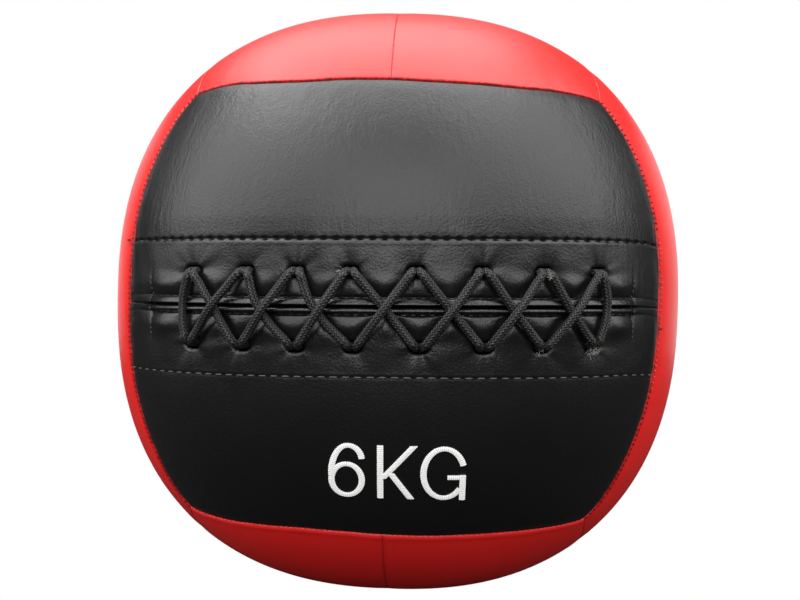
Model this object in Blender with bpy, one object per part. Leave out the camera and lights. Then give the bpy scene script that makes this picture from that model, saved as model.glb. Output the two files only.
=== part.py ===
# Soft wall ball: sewn cover panels over foam, a laced closure, fibre filling and a weight bag.
# Metres, +Z up. The laced front faces -Y, and the origin is on the floor under the ball.

import math
from dataclasses import dataclass

import bmesh
import bpy
import numpy as np
from mathutils import Vector

# Ball
BALL_HALF_WIDTH = 0.167
BALL_HALF_DEPTH = 0.1685
BALL_HALF_HEIGHT = 0.1715
BALL_ROUNDNESS = 2.35  # exponent: 2 is an ellipsoid, higher is squarer
FLOOR_FLAT_DEPTH = 0.0005

# Seam layout: each of the six faces is long one way and narrow the other, as on a volleyball
CORNER_SHARES = (0.955, 1.0, 0.973)  # of the half width, depth and height
SEAM_BOW_SHARES = (0.759, 0.78, 0.807)  # where the seams along X, Y and Z come nearest a face's middle
CELLS_PER_HALF = 4
STEP_SHARE = 1e-4  # the step that slopes are measured over
MOST_SHARE = 0.9  # how far up or down the front the closure's levels are looked for

# Cover panels
COVER_THICKNESS = 0.0012
SEAM_GAP = 0.0004
SEAM_DIP = 0.0022
SEAM_DRAW_WIDTH = 0.008
SEAM_ALLOWANCE_DEPTH = 0.009
FIT_GAP = 0.0003

# Foam liners
LINER_THICKNESS = 0.0065
LINER_FACE_GAP = 0.0004
LINER_SIDE_GAP = 0.001

# Laced closure on the front
CLOSURE_LIFT = 0.001
CLOSURE_SLOPE_SHARE = 0.013
LIP_WIDTH = 0.0043
LIP_HEIGHT = 0.0007
LIP_FOOT_DIP = 0.0004
HEM_STITCH_HEIGHT = 0.0305
HEM_STITCH_DIP = 0.0005
FACING_THICKNESS = 0.001
FACING_EDGE_MARGIN = 0.0025
LINER_START_MARGIN = 0.004
TONGUE_THICKNESS = 0.001
TONGUE_WIDTH_SHARE = 0.75
TONGUE_ROW_SHARES = (-1, -0.5, 0, 0.5, 0.85, 1)  # it rises to its seam after the last but one

# Eyelets: eight above the groove and eight below
EYELET_REACH = 0.0975
UPPER_EYELET_SHARES = (-0.917, -0.643, -0.399, -0.153, 0.142, 0.44, 0.725, 1.0)
LOWER_EYELET_SHARES = (-0.929, -0.663, -0.402, -0.137, 0.162, 0.452, 0.724, 0.978)
UPPER_EYELET_HEIGHT = 0.0156
LOWER_EYELET_HEIGHT = 0.0179
EYELET_SIDE_GAP = 0.0009
EYELET_END_GAP = 0.0016
EYELET_ROUNDNESS = 3  # exponent: 2 is an oval, higher is squarer
EYELET_CUTTER_OVERRUN = 0.003
EYELET_SIDES = 12

# Lace and its knots
LACE_DIAMETER = 0.0032
LACE_GAP = 0.0005
LACE_FACE_GAP = 0.001
OUTER_RUN_SHARES = (0.2, 0.4, 0.6, 0.8)  # where a strand rises over the lips and comes down
INNER_RUN_SHARE = 0.5
KNOT_RADIUS = 0.003
KNOT_SIDES = 10

# Filling
FILLING_GAP = 0.0028
FILLING_RECESS_GAP = 0.0014
FILLING_RECESS_ANGLE = 13
FILLING_RECESS_HALF_TURN = 45
FILLING_SIDES = 24
FILLING_RING_ANGLES = (0, 13, 32, 51, 70)

# Weight bag and what it holds
BAG_RADIUS = 0.0615
BAG_THICKNESS = 0.0012
BAG_GAP = 0.0008
BAG_RING_ANGLES = (-75, -50, -25, 0, 25, 50)
BAG_NECK_RADIUS = 0.007
BAG_NECK_HEIGHT = 0.068
BAG_NECK_HALF_LENGTH = 0.0025
BAG_MOUTH_RADIUS = 0.012
BAG_MOUTH_HEIGHT = 0.08
BAG_POCKET_RADIUS = 0.024
TIE_DIAMETER = 0.003
TIE_GAP = 0.0005
TIE_SIDES = 16

HALF_TURN = math.pi
FULL_TURN = 2 * math.pi

# Sizes that follow from the ones above
LACE_RADIUS = LACE_DIAMETER / 2
CLOSURE_STACK = COVER_THICKNESS + FIT_GAP + FACING_THICKNESS
LACE_BEND = CLOSURE_STACK / 2 + LACE_FACE_GAP + LACE_RADIUS
LACE_MID_DEPTH = CLOSURE_STACK / 2
LACE_LIP_HEIGHT = LIP_HEIGHT + 2 * FIT_GAP + LACE_RADIUS
LACE_OVER_HEIGHT = LACE_LIP_HEIGHT + LACE_DIAMETER + LACE_GAP
LACE_INSIDE_DEPTH = CLOSURE_STACK + LACE_FACE_GAP + LACE_RADIUS + LACE_GAP
LACE_DEEP_DEPTH = LACE_INSIDE_DEPTH + LACE_DIAMETER + LACE_GAP
TONGUE_DEPTH = LACE_DEEP_DEPTH + LACE_RADIUS + LACE_GAP
TONGUE_HALF_HEIGHT = HEM_STITCH_HEIGHT + FACING_EDGE_MARGIN
FILLING_DEPTH = SEAM_ALLOWANCE_DEPTH + FILLING_GAP
FILLING_RECESS_DEPTH = TONGUE_DEPTH + TONGUE_THICKNESS + FILLING_RECESS_GAP
FRONT_REACH = LACE_OVER_HEIGHT + LACE_RADIUS
BALL_CENTRE = Vector((0, FRONT_REACH / 2, BALL_HALF_HEIGHT - FLOOR_FLAT_DEPTH))

X, Y, Z = Vector((1, 0, 0)), Vector((0, 1, 0)), Vector((0, 0, 1))

# Each face's outward axis, its long axis and its narrow axis, right-handed
FACE_AXES = {
    "front": (-Y, X, Z),
    "back": (Y, -X, Z),
    "top": (Z, -Y, X),
    "bottom": (-Z, Y, X),
    "right": (X, -Z, Y),
    "left": (-X, Z, Y),
}

BLACK_LEATHERETTE = ("black_leatherette", (0.014, 0.014, 0.015), 0.45)
RED_LEATHERETTE = ("red_leatherette", (0.75, 0.035, 0.035), 0.42)
BLACK_CORD = ("black_cord", (0.012, 0.012, 0.012), 0.85)
GREY_FOAM = ("grey_foam", (0.25, 0.26, 0.27), 0.95)
BLACK_WEBBING = ("black_webbing", (0.02, 0.02, 0.02), 0.9)
WHITE_FIBRE = ("white_fibre", (0.72, 0.7, 0.66), 0.95)
CANVAS = ("canvas", (0.42, 0.36, 0.27), 0.9)
IRON_SAND = ("iron_sand", (0.09, 0.085, 0.08), 0.6)


@dataclass(frozen=True)
class Line:
    """One line of a panel's grid. A seam line lies a distance in from a seam at a share of the face."""

    kind: str
    share: float = 0
    inward: int = 0
    distance: float = 0
    edge: bool = False
    rise: float = 0


def seam_edge(share, inward):
    return Line("seam", share, inward, SEAM_GAP / 2, True)


def seam_shoulder(share, inward):
    return Line("seam", share, inward, SEAM_DRAW_WIDTH)


def share_line(share):
    return Line("share", share)


def level_line(height, rise=0, inward=0):
    """A line at a height above or below the closure's groove, and its edge where inward is given."""
    return Line("level", distance=height, inward=inward, edge=inward != 0, rise=rise)


# Ball surface


def ball_radius(direction):
    return (
        abs(direction.x / BALL_HALF_WIDTH) ** BALL_ROUNDNESS
        + abs(direction.y / BALL_HALF_DEPTH) ** BALL_ROUNDNESS
        + abs(direction.z / BALL_HALF_HEIGHT) ** BALL_ROUNDNESS
    ) ** (-1 / BALL_ROUNDNESS)


def ball_point(direction, depth):
    return BALL_CENTRE + direction * (ball_radius(direction) - depth)


def seam_bow(axis):
    return sum(share * abs(part) for share, part in zip(SEAM_BOW_SHARES, axis))


def face_direction(face, long_share, short_share):
    """The way out from the ball's centre at a place on a face, whose shares run from -1 to 1."""
    outward, long_axis, short_axis = FACE_AXES[face]
    u, v = (math.tan(share * HALF_TURN / 4) for share in (long_share, short_share))
    end_bow, side_bow = seam_bow(short_axis), seam_bow(long_axis)
    reach = 1 / (end_bow + (1 - end_bow) * v * v)
    rise = side_bow + (reach - side_bow) * u * u
    cube = outward + long_axis * (u * reach) + short_axis * (v * rise)
    halves = (BALL_HALF_WIDTH, BALL_HALF_DEPTH, BALL_HALF_HEIGHT)
    return Vector([c * s * h for c, s, h in zip(cube, CORNER_SHARES, halves)]).normalized()


def face_point(face, long_share, short_share, depth=0):
    return ball_point(face_direction(face, long_share, short_share), depth)


def share_lengths(face, long_share, short_share):
    """How far one whole share reaches across a face here, square to the lines of the other kind."""
    here = face_point(face, long_share, short_share)
    along = (face_point(face, long_share + STEP_SHARE, short_share) - here) / STEP_SHARE
    across = (face_point(face, long_share, short_share + STEP_SHARE) - here) / STEP_SHARE
    area = along.cross(across).length
    return area / across.length, area / along.length


# Closure chart: x across the front, and a height from the groove


def groove_height(x):
    return CLOSURE_LIFT + CLOSURE_SLOPE_SHARE * x


def closure_direction(x, height):
    z = groove_height(x) + height
    rest = 1 - abs(x / BALL_HALF_WIDTH) ** BALL_ROUNDNESS - abs(z / BALL_HALF_HEIGHT) ** BALL_ROUNDNESS
    return Vector((x, -BALL_HALF_DEPTH * rest ** (1 / BALL_ROUNDNESS), z)).normalized()


def closure_point(x, height, depth):
    return ball_point(closure_direction(x, height), depth)


def closure_place(point):
    direction = (point - BALL_CENTRE).normalized()
    surface = direction * ball_radius(direction)
    return surface.x, surface.z - groove_height(surface.x)


def level_share(long_share, height):
    """The narrow share on the front where its surface is at this height from the groove."""
    low, high = -MOST_SHARE, MOST_SHARE
    for _ in range(40):
        middle = (low + high) / 2
        if closure_place(face_point("front", long_share, middle))[1] < height:
            low = middle
        else:
            high = middle
    return (low + high) / 2


# Panel grids


def moved_share(line, start, length, inset):
    if line.kind != "seam":
        return start
    extra = inset if line.edge else 0
    return line.share + line.inward * (line.distance + extra) / length


def crossing(face, column, row, inset):
    """The two shares where a column and a row meet."""
    long_share, short_share = column.share, row.share
    if row.kind == "level":
        extra = row.inward * inset
        short_share = level_share(long_share, row.distance + extra)
    lengths = share_lengths(face, long_share, short_share)
    long_share = moved_share(column, long_share, lengths[0], inset)
    if row.kind == "level":
        return long_share, level_share(long_share, row.distance + row.inward * inset)
    return long_share, moved_share(row, short_share, lengths[1], inset)


def is_seam_edge(line):
    return line.kind == "seam" and line.edge


def plain_grid_point(face, column, row, inset, depth, dipped):
    long_share, short_share = crossing(face, column, row, inset)
    dip = SEAM_DIP if dipped and (is_seam_edge(column) or is_seam_edge(row)) else 0
    return face_point(face, long_share, short_share, depth + dip)


def is_station(line):
    return line.kind == "seam" or float(line.share * CELLS_PER_HALF).is_integer()


def grid_point(face, column, row, inset, depth, dipped=True):
    """A grid point. One that a neighbour's seam lacks lies on the straight between that seam's points."""
    options = (inset, depth, dipped)
    if column.edge and row.kind == "level":
        place = crossing(face, column, row, inset)[1] * CELLS_PER_HALF
        ends = [share_line(k / CELLS_PER_HALF) for k in (math.floor(place), math.floor(place) + 1)]
        points = [plain_grid_point(face, column, end, *options) for end in ends]
    elif is_seam_edge(row) and not is_station(column):
        place = column.share * CELLS_PER_HALF
        ends = [share_line(k / CELLS_PER_HALF) for k in (math.floor(place), math.floor(place) + 1)]
        points = [plain_grid_point(face, end, row, *options) for end in ends]
    else:
        return plain_grid_point(face, column, row, *options)
    return points[0].lerp(points[1], place - math.floor(place))


def grid_points(face, columns, rows, inset, depth, risen=False):
    return [
        [grid_point(face, column, row, inset, depth - (row.rise if risen else 0)) for row in rows]
        for column in columns
    ]


def edge_loop(column_count, row_count):
    """The grid places round a panel's edge, anticlockwise from outside."""
    last_column, last_row = column_count - 1, row_count - 1
    return (
        [(i, 0) for i in range(last_column)]
        + [(last_column, j) for j in range(last_row)]
        + [(i, last_row) for i in range(last_column, 0, -1)]
        + [(0, j) for j in range(last_row, 0, -1)]
    )


def add_points(mesh, grid):
    return [[mesh.verts.new(point) for point in line] for line in grid]


def add_grid_faces(mesh, grid, outward):
    for first, second in zip(grid, grid[1:]):
        for j in range(len(first) - 1):
            corners = (first[j], second[j], second[j + 1], first[j + 1])
            if not outward:
                corners = (first[j], first[j + 1], second[j + 1], second[j])
            mesh.faces.new(corners)


def add_wall(mesh, upper, lower):
    """A strip of faces between two closed loops, facing away from the panel's middle."""
    for k in range(len(upper)):
        mesh.faces.new((upper[k], upper[k - 1], lower[k - 1], lower[k]))


def add_object(name, mesh, finish):
    data = bpy.data.meshes.new(name)
    mesh.to_mesh(data)
    mesh.free()
    return link_object(name, data, finish)


def link_object(name, data, finish):
    material_name, colour, roughness = finish
    material = bpy.data.materials.get(material_name) or bpy.data.materials.new(material_name)
    material.use_nodes = True
    shader = material.node_tree.nodes["Principled BSDF"]
    shader.inputs["Base Color"].default_value = (*colour, 1)
    shader.inputs["Roughness"].default_value = roughness
    shader.inputs["Metallic"].default_value = 0
    data.materials.append(material)
    thing = bpy.data.objects.new(name, data)
    bpy.context.scene.collection.objects.link(thing)
    return thing


def smooth(thing, angle=40):
    thing.data.shade_smooth()
    thing.data.set_sharp_from_angle(angle=math.radians(angle))
    return thing


# Cover panels and the soft sheets under them


def face_lines(start, end):
    """Lines across a face from one seam to another, with a shoulder beside each seam."""
    first, last = (round(share * CELLS_PER_HALF) for share in (start, end))
    between = [share_line(k / CELLS_PER_HALF) for k in range(first + 1, last)]
    return [
        seam_edge(start, 1),
        seam_shoulder(start, 1),
        *between,
        seam_shoulder(end, -1),
        seam_edge(end, -1),
    ]


def without_shoulders(lines):
    return [line for line in lines if line.kind != "seam" or line.edge]


def rim_depth(columns, rows, i, j):
    """The groove's rim is a folded lip, only as deep as the closure's layers. The others are sewn seams."""
    on_groove = rows[j].kind == "level" and rows[j].edge and 0 < i < len(columns) - 1
    return CLOSURE_STACK if on_groove else SEAM_ALLOWANCE_DEPTH


def make_panel(name, face, columns, rows, finish):
    """A sheet of cover with its edges turned in, so that it is a shallow tray open to the inside."""
    mesh = bmesh.new()
    outer = add_points(mesh, grid_points(face, columns, rows, 0, 0, risen=True))
    inner = add_points(mesh, grid_points(face, columns, rows, COVER_THICKNESS, COVER_THICKNESS))
    loop = edge_loop(len(columns), len(rows))
    rims = []
    for inset in (0, COVER_THICKNESS):
        rims.append([])
        for i, j in loop:
            depth = rim_depth(columns, rows, i, j)
            point = grid_point(face, columns[i], rows[j], inset, depth, dipped=False)
            rims[-1].append(mesh.verts.new(point))
    add_grid_faces(mesh, outer, outward=True)
    add_grid_faces(mesh, inner, outward=False)
    add_wall(mesh, [outer[i][j] for i, j in loop], rims[0])
    add_wall(mesh, rims[0], rims[1])
    add_wall(mesh, rims[1], [inner[i][j] for i, j in loop])
    return smooth(add_object(name, mesh, finish))


def make_sheet(name, face, columns, rows, inset, depths, thickness, finish):
    """A closed soft slab under the cover, whose depth may differ from row to row."""
    mesh = bmesh.new()
    grids = []
    for extra in (0, thickness):
        lines = [
            [grid_point(face, column, row, inset, depth + extra) for row, depth in zip(rows, depths)]
            for column in columns
        ]
        grids.append(add_points(mesh, lines))
    loop = edge_loop(len(columns), len(rows))
    add_grid_faces(mesh, grids[0], outward=True)
    add_grid_faces(mesh, grids[1], outward=False)
    add_wall(mesh, [grids[0][i][j] for i, j in loop], [grids[1][i][j] for i, j in loop])
    return smooth(add_object(name, mesh, finish))


def closure_columns():
    """The front's columns, twice as close over the closure so that the lace lies true on them."""
    columns = face_lines(-1, 1)
    half_cell = 1 / (2 * CELLS_PER_HALF)
    most = CELLS_PER_HALF - 1
    columns += [share_line(k / CELLS_PER_HALF + half_cell) for k in range(-most, most)]
    return sorted(columns, key=lambda line: line.share + line.inward * line.distance)


def closure_rows(side):
    """Rows from the groove to the face's outer seam, above the groove for side 1 and below for -1."""
    levels = [
        level_line(side * SEAM_GAP / 2, inward=side),
        level_line(side * LIP_WIDTH / 2, LIP_HEIGHT),
        level_line(side * LIP_WIDTH, -LIP_FOOT_DIP),
        level_line(side * HEM_STITCH_HEIGHT / 2),
        level_line(side * HEM_STITCH_HEIGHT, -HEM_STITCH_DIP),
    ]
    shares = [share_line(side * k / CELLS_PER_HALF) for k in range(CELLS_PER_HALF // 2, CELLS_PER_HALF)]
    rows = [*levels, *shares, seam_shoulder(side, -side), seam_edge(side, -side)]
    return rows if side > 0 else rows[::-1]


def make_face_halves(face, names, finish):
    for name, start in zip(names, (-1, 0)):
        columns, rows = face_lines(-1, 1), face_lines(start, start + 1)
        make_panel(name + "_panel", face, columns, rows, finish)
        make_liner(name + "_foam", face, without_shoulders(columns), without_shoulders(rows))


def make_liner(name, face, columns, rows):
    depth = COVER_THICKNESS + LINER_FACE_GAP
    inset = COVER_THICKNESS + LINER_SIDE_GAP
    make_sheet(name, face, columns, rows, inset, [depth] * len(rows), LINER_THICKNESS, GREY_FOAM)


def make_front():
    for name, side, eyelets in (("upper", 1, eyelets_of(1)), ("lower", -1, eyelets_of(-1))):
        columns, rows = closure_columns(), closure_rows(side)
        panel = make_panel(f"front_{name}_panel", "front", columns, rows, BLACK_LEATHERETTE)
        facing = make_facing(name, side, columns)
        for sheet in (panel, facing):
            cut_eyelets(sheet, eyelets)
        liner_rows = [
            level_line(side * (HEM_STITCH_HEIGHT + LINER_START_MARGIN)),
            share_line(side * 2 / CELLS_PER_HALF),
            share_line(side * 3 / CELLS_PER_HALF),
            seam_edge(side, -side),
        ]
        liner_columns = without_shoulders(face_lines(-1, 1))
        make_liner(f"front_{name}_foam", "front", liner_columns, liner_rows[::side])


def make_facing(name, side, columns):
    """The strip sewn behind the eyelets, from the folded lip to just past the hem stitching."""
    start = SEAM_GAP / 2 + COVER_THICKNESS + FIT_GAP
    rows = [
        level_line(side * start),
        level_line(side * HEM_STITCH_HEIGHT / 2),
        level_line(side * HEM_STITCH_HEIGHT),
        level_line(side * (HEM_STITCH_HEIGHT + FACING_EDGE_MARGIN)),
    ][::side]
    inset = COVER_THICKNESS + LINER_SIDE_GAP
    depths = [COVER_THICKNESS + FIT_GAP] * len(rows)
    sheet_name = f"{name}_eyelet_facing"
    columns = without_shoulders(columns)
    return make_sheet(sheet_name, "front", columns, rows, inset, depths, FACING_THICKNESS, BLACK_WEBBING)


def make_tongue():
    """The flap behind the lacing, sewn along its upper edge to the upper hem."""
    most = round(TONGUE_WIDTH_SHARE * CELLS_PER_HALF)
    columns = [share_line(k / CELLS_PER_HALF) for k in range(-most, most + 1)]
    sewn_depth = CLOSURE_STACK + 2 * FIT_GAP
    depths = [TONGUE_DEPTH] * (len(TONGUE_ROW_SHARES) - 1) + [sewn_depth]
    rows = [level_line(share * TONGUE_HALF_HEIGHT) for share in TONGUE_ROW_SHARES]
    make_sheet("closure_tongue", "front", columns, rows, 0, depths, TONGUE_THICKNESS, BLACK_WEBBING)


# Eyelets


@dataclass(frozen=True)
class Eyelet:
    """A hole in the closure: the point midway through its layers, and its outward, across and up ways."""

    middle: Vector
    outward: Vector
    across: Vector
    up: Vector


def eyelets_of(side):
    shares = UPPER_EYELET_SHARES if side > 0 else LOWER_EYELET_SHARES
    height = UPPER_EYELET_HEIGHT if side > 0 else LOWER_EYELET_HEIGHT
    found = []
    for share in shares:
        x = share * EYELET_REACH
        outward = closure_direction(x, side * height)
        across = closure_point(x + LACE_RADIUS, side * height, 0) - closure_point(x, side * height, 0)
        across = (across - outward * across.dot(outward)).normalized()
        middle = ball_point(outward, LACE_MID_DEPTH)
        found.append(Eyelet(middle, outward, across, outward.cross(across)))
    return found


def squared(part):
    """A cosine or sine pushed outwards, which makes a circle's outline squarer."""
    return math.copysign(abs(part) ** (2 / EYELET_ROUNDNESS), part)


def cut_eyelets(sheet, eyelets):
    """Oval holes wide enough for two turns of lace side by side."""
    half_width = LACE_DIAMETER + LACE_GAP / 2 + EYELET_SIDE_GAP
    half_height = LACE_RADIUS + EYELET_END_GAP
    reach = CLOSURE_STACK + EYELET_CUTTER_OVERRUN
    turns = [FULL_TURN * (k + 0.5) / EYELET_SIDES for k in range(EYELET_SIDES)]
    outline = [(half_width * squared(math.cos(t)), half_height * squared(math.sin(t))) for t in turns]
    mesh = bmesh.new()
    for eyelet in eyelets:
        middles = [eyelet.middle + eyelet.outward * depth for depth in (-reach, reach)]
        rings = [
            [mesh.verts.new(middle + eyelet.across * width + eyelet.up * height) for width, height in outline]
            for middle in middles
        ]
        add_wall(mesh, rings[0], rings[1])
        mesh.faces.new(rings[0])
        mesh.faces.new(rings[1][::-1])
    bmesh.ops.recalc_face_normals(mesh, faces=mesh.faces)
    cutter = add_object(sheet.name + "_cutter", mesh, BLACK_WEBBING)
    cutter.hide_render = True
    cutter.display_type = "WIRE"
    holes = sheet.modifiers.new("eyelet_holes", "BOOLEAN")
    holes.object = cutter
    holes.solver = "EXACT"


# Lace


def passage_middle(eyelet, side):
    return eyelet.middle + eyelet.across * (side * (LACE_DIAMETER + LACE_GAP) / 2)


def bend_points(eyelet, side, along, out, depth):
    """A quarter turn from midway through an eyelet to flat against the closure, outside or inside."""
    start = passage_middle(eyelet, side)
    flat = (along - eyelet.outward * along.dot(eyelet.outward)).normalized()
    straight = depth - LACE_MID_DEPTH - LACE_BEND if not out else 0
    way = eyelet.outward if out else -eyelet.outward
    points = [start + way * straight] if straight > LACE_RADIUS else []
    for turn in (HALF_TURN / 4, HALF_TURN / 2):
        offset = flat * (LACE_BEND * (1 - math.cos(turn))) + way * (straight + LACE_BEND * math.sin(turn))
        points.append(start + offset)
    return points


def run_points(start, end, heights):
    """Points between two ends, at shares of the way and heights over the closure's surface."""
    places = [closure_place(start), closure_place(end)]
    points = []
    for share, height in heights:
        x, level = (a + (b - a) * share for a, b in zip(*places))
        points.append(closure_point(x, level, -height))
    return points


def outer_run(start, end, over):
    top = LACE_OVER_HEIGHT if over else LACE_LIP_HEIGHT
    foot = (top + FIT_GAP + LACE_RADIUS) / 2
    return run_points(start, end, zip(OUTER_RUN_SHARES, (foot, top, top, foot)))


def strand(first, first_side, second, second_side, out, depth=0, over=False):
    """A stretch of lace between two eyelets, with its quarter turn at each end."""
    ends = [passage_middle(first, first_side), passage_middle(second, second_side)]
    start = bend_points(first, first_side, ends[1] - ends[0], out, depth)
    finish = bend_points(second, second_side, ends[0] - ends[1], out, depth)
    if out:
        middle = outer_run(start[-1], finish[-1], over)
    else:
        middle = run_points(start[-1], finish[-1], [(INNER_RUN_SHARE, -depth)])
    return [*start, *middle, *finish[::-1], ends[1]]


def lace_points():
    """One cord: up the right end, leftwards in one slant, up the left end, and back in the other."""
    upper, lower = eyelets_of(1), eyelets_of(-1)
    last = len(upper) - 1
    right, left = 1, -1
    tail = bend_points(lower[last], right, -lower[last].up, False, LACE_INSIDE_DEPTH)
    points = [*tail[::-1], passage_middle(lower[last], right)]
    points += strand(lower[last], right, upper[last], right, out=True)
    for k in range(last, 0, -1):
        points += strand(upper[k], right, lower[k], left, out=False, depth=LACE_INSIDE_DEPTH)
        points += strand(lower[k], left, upper[k - 1], right, out=True)
    points += strand(upper[0], right, lower[0], left, out=False, depth=LACE_INSIDE_DEPTH)
    points += strand(lower[0], left, upper[0], left, out=True)
    for k in range(last):
        points += strand(upper[k], left, lower[k], right, out=False, depth=LACE_DEEP_DEPTH)
        points += strand(lower[k], right, upper[k + 1], left, out=True, over=True)
    return points + bend_points(upper[last], left, upper[last].up, False, LACE_INSIDE_DEPTH)


def lace_self_gap(points):
    """The least gap between stretches of the lace that aren't neighbours along it."""
    path = np.array(points)
    steps = np.linalg.norm(np.diff(path, axis=0), axis=1)
    travelled = np.concatenate([[0], np.cumsum(steps)])
    places = np.arange(0, travelled[-1], LACE_RADIUS / 4)
    samples = np.stack([np.interp(places, travelled, path[:, axis]) for axis in range(3)], axis=1)
    least = math.inf
    skip = LACE_BEND * HALF_TURN
    for place, sample in zip(places, samples):
        far = np.abs(places - place) > skip
        least = min(least, np.linalg.norm(samples[far] - sample, axis=1).min())
    return least - LACE_DIAMETER


def make_tube(name, points, diameter, finish, cyclic=False):
    data = bpy.data.curves.new(name, "CURVE")
    data.dimensions = "3D"
    data.bevel_depth = diameter / 2
    data.bevel_resolution = 2
    data.use_fill_caps = not cyclic
    spline = data.splines.new("POLY")
    spline.points.add(len(points) - 1)
    for place, point in zip(spline.points, points):
        place.co = (*point, 1)
    spline.use_cyclic_u = cyclic
    return link_object(name, data, finish)


def make_knot(name, cord_end, before_end):
    """A tight stopper knot just past the lace's end."""
    way = (cord_end - before_end).normalized()
    mesh = bmesh.new()
    bmesh.ops.create_uvsphere(mesh, u_segments=KNOT_SIDES, v_segments=KNOT_SIDES // 2 + 1, radius=KNOT_RADIUS)
    bmesh.ops.translate(mesh, verts=mesh.verts, vec=cord_end + way * (KNOT_RADIUS + FIT_GAP))
    smooth(add_object(name, mesh, BLACK_CORD))


def make_lace():
    points = lace_points()
    make_tube("lace", points, LACE_DIAMETER, BLACK_CORD)
    make_knot("lace_start_knot", points[0], points[1])
    make_knot("lace_end_knot", points[-1], points[-2])
    length = sum((b - a).length for a, b in zip(points, points[1:]))
    gap = lace_self_gap(points) * 1000
    print(f"lace: {len(points)} points, {length:.3f} m, least gap to itself {gap:.2f} mm")


# Filling and weight


def ring_direction(turn, angle):
    """A way out from the ball's centre, turned from the front and raised above the horizon."""
    level = math.cos(math.radians(angle))
    return Vector((level * math.sin(turn), -level * math.cos(turn), math.sin(math.radians(angle))))


def add_ring(mesh, radius, height):
    turns = [FULL_TURN * k / FILLING_SIDES for k in range(FILLING_SIDES)]
    centre = BALL_CENTRE + Z * height
    return [mesh.verts.new(centre + Vector((radius * math.sin(t), -radius * math.cos(t), 0))) for t in turns]


def add_outer_ring(mesh, angle, side):
    ring = []
    for k in range(FILLING_SIDES):
        turn = FULL_TURN * k / FILLING_SIDES
        from_front = abs(math.degrees(math.remainder(turn, FULL_TURN)))
        recessed = angle <= FILLING_RECESS_ANGLE and from_front <= FILLING_RECESS_HALF_TURN
        depth = FILLING_RECESS_DEPTH if recessed else FILLING_DEPTH
        point = ball_point(ring_direction(turn, side * angle), depth)
        if angle == 0:
            point.z = BALL_CENTRE.z + side * FIT_GAP / 2
        ring.append(mesh.verts.new(point))
    return ring


def add_rings_body(mesh, rings, first, last):
    """Closes a chain of rings into one body between its two end points."""
    for upper, lower in zip(rings, rings[1:]):
        add_wall(mesh, upper, lower)
    for k in range(FILLING_SIDES):
        mesh.faces.new((first, rings[0][k - 1], rings[0][k]))
        mesh.faces.new((last, rings[-1][k], rings[-1][k - 1]))
    bmesh.ops.recalc_face_normals(mesh, faces=mesh.faces)


def bowl_rings(mesh, side):
    """The hollow that holds the weight bag, with a pocket above for its neck."""
    radius = BAG_RADIUS + BAG_GAP
    angles = [angle for angle in BAG_RING_ANGLES if 0 < side * angle]
    rim = math.sqrt(radius**2 - (FIT_GAP / 2) ** 2)
    rings = [add_ring(mesh, rim, side * FIT_GAP / 2)]
    for angle in sorted(angles, key=abs):
        turn = math.radians(angle)
        rings.append(add_ring(mesh, radius * math.cos(turn), radius * math.sin(turn)))
    if side < 0:
        return rings, mesh.verts.new(BALL_CENTRE - Z * radius)
    shoulder = math.sqrt(radius**2 - BAG_POCKET_RADIUS**2)
    top = BAG_MOUTH_HEIGHT + BAG_GAP
    rings += [add_ring(mesh, BAG_POCKET_RADIUS, height) for height in (shoulder, top)]
    return rings, mesh.verts.new(BALL_CENTRE + Z * top)


def make_filling(name, side):
    mesh = bmesh.new()
    pole = mesh.verts.new(ball_point(Z * side, FILLING_DEPTH))
    outer = [add_outer_ring(mesh, angle, side) for angle in FILLING_RING_ANGLES[::-1]]
    bowl, bottom = bowl_rings(mesh, side)
    add_rings_body(mesh, outer + bowl, pole, bottom)
    smooth(add_object(name, mesh, WHITE_FIBRE))


def bag_profile(radius):
    """Rings up a bag's round body, as radius and height pairs."""
    turns = [math.radians(angle) for angle in BAG_RING_ANGLES]
    return [(radius * math.cos(turn), radius * math.sin(turn)) for turn in turns]


def make_weight_bag():
    neck_low, neck_high = (BAG_NECK_HEIGHT + side * BAG_NECK_HALF_LENGTH for side in (-1, 1))
    neck = [(BAG_NECK_RADIUS, neck_low), (BAG_NECK_RADIUS, neck_high), (BAG_MOUTH_RADIUS, BAG_MOUTH_HEIGHT)]
    inner_neck = [(radius - BAG_THICKNESS, height) for radius, height in neck]
    inner_radius = BAG_RADIUS - BAG_THICKNESS
    profile = bag_profile(BAG_RADIUS) + neck + inner_neck[::-1] + bag_profile(inner_radius)[::-1]
    mesh = bmesh.new()
    rings = [add_ring(mesh, radius, height) for radius, height in profile]
    first = mesh.verts.new(BALL_CENTRE - Z * BAG_RADIUS)
    last = mesh.verts.new(BALL_CENTRE - Z * inner_radius)
    add_rings_body(mesh, rings, first, last)
    smooth(add_object("weight_bag", mesh, CANVAS))


def make_iron_sand():
    radius = BAG_RADIUS - BAG_THICKNESS - FIT_GAP
    mesh = bmesh.new()
    profile = bag_profile(radius)
    rings = [add_ring(mesh, *place) for place in profile]
    first = mesh.verts.new(BALL_CENTRE - Z * radius)
    last = mesh.verts.new(BALL_CENTRE + Z * profile[-1][1])
    add_rings_body(mesh, rings, first, last)
    smooth(add_object("iron_sand", mesh, IRON_SAND))


def make_bag_tie():
    radius = BAG_NECK_RADIUS + TIE_GAP + TIE_DIAMETER / 2
    points = []
    for k in range(TIE_SIDES):
        turn = FULL_TURN * k / TIE_SIDES
        offset = Vector((radius * math.sin(turn), -radius * math.cos(turn), BAG_NECK_HEIGHT))
        points.append(BALL_CENTRE + offset)
    make_tube("weight_bag_tie", points, TIE_DIAMETER, CANVAS, cyclic=True)


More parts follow.
